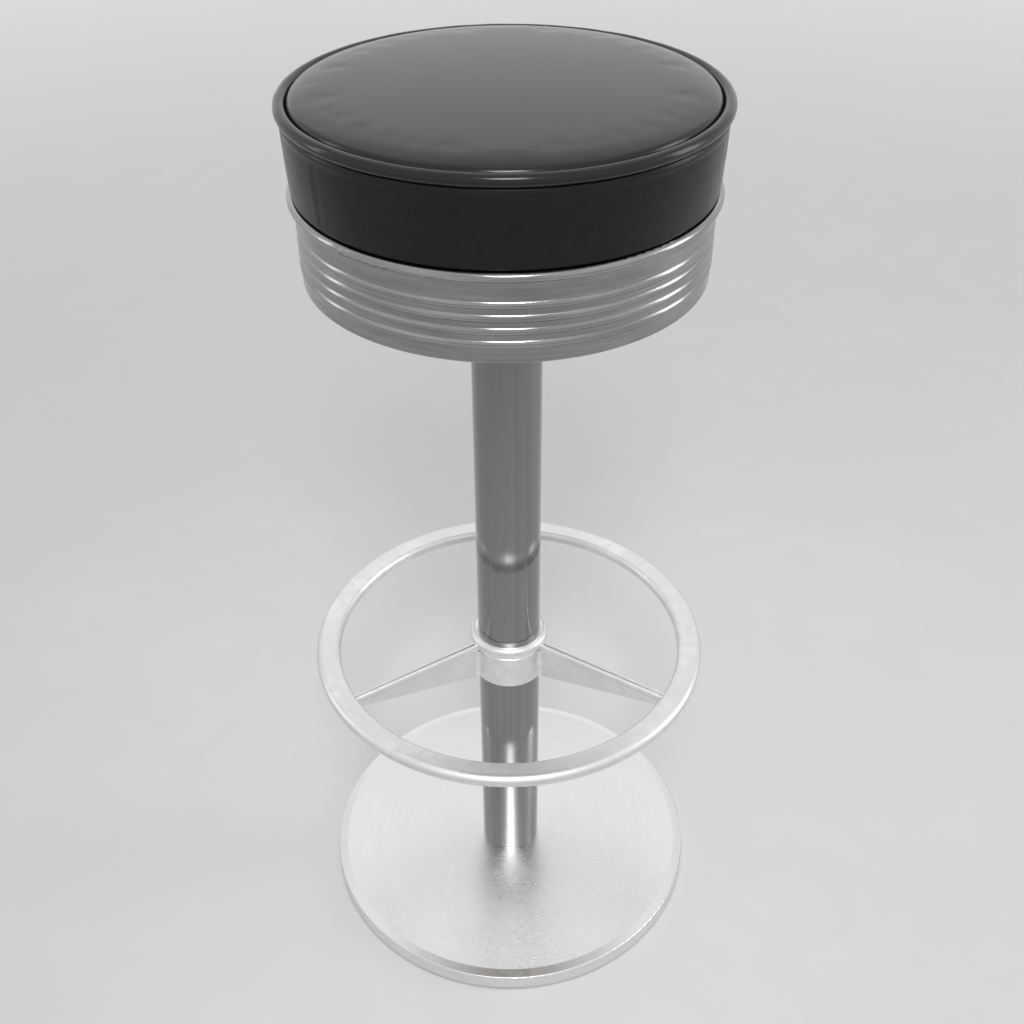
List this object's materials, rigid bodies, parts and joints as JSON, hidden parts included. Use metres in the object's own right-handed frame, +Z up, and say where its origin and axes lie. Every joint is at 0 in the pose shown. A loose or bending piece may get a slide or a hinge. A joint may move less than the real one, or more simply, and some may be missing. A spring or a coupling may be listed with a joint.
{
  "type": "diner counter stool",
  "caption": "Round swivel counter stool with a padded black seat in a ribbed metal band, a polished column, a spoked footring and a weighted disc base.",
  "frame": {"origin": "on the floor, on the column's axis", "axes": "+Z up along the column; -Y to the front, where one footring spoke points to the back (+Y)"},
  "size_m": [0.3799, 0.38, 0.85],
  "materials": {
    "black_rubber": "matte",
    "cast_iron": "matte",
    "satin_aluminium": "satin",
    "cast_aluminium": "satin",
    "polished_column": "polished",
    "plated_steel": "satin",
    "bearing_steel": "polished",
    "bronze": "satin",
    "black_steel": "satin",
    "plywood": "matte",
    "black_vinyl": "gloss",
    "foam": "matte"
  },
  "bodies": {
    "stand": {"floor_ring": "black_rubber", "base_weight": "cast_iron", "base_cover": "satin_aluminium", "foot_screws": "plated_steel", "foot_plug": "plated_steel", "column_tube": "polished_column", "footring": "cast_aluminium", "footring_set_screws": "black_steel", "bearing_housing": "plated_steel", "housing_screws": "black_steel", "upper_bush": "bronze", "lower_bush": "bronze", "lower_race": "bearing_steel"},
    "bearing_cage": {"bearing_balls": "bearing_steel", "ball_cage": "bronze"},
    "seat": {"upper_race": "bearing_steel", "bearing_cover": "black_steel", "swivel_spindle": "plated_steel", "spindle_washer": "plated_steel", "spindle_clip": "black_steel", "seat_plate": "black_steel", "plate_bolts": "plated_steel", "tee_nuts": "plated_steel", "seat_board": "plywood", "seat_band": "satin_aluminium", "band_screws": "plated_steel", "seat_foam": "foam", "side_cover": "black_vinyl", "cover_staples": "plated_steel", "top_cover": "black_vinyl", "welt": "black_vinyl"}
  },
  "joints": [
    {"name": "seat_swivel", "type": "hinge", "parent": "stand", "child": "seat", "pos_m": [0, 0, 0.69], "axis": [0, 0, 1], "continuous": true},
    {"name": "cage_turn", "type": "hinge", "parent": "stand", "child": "bearing_cage", "pos_m": [0, 0, 0.695], "axis": [0, 0, 1], "continuous": true}
  ],
  "couplings": [
    {"joint": "cage_turn", "follows": "seat_swivel", "ratio": 0.5}
  ]
}
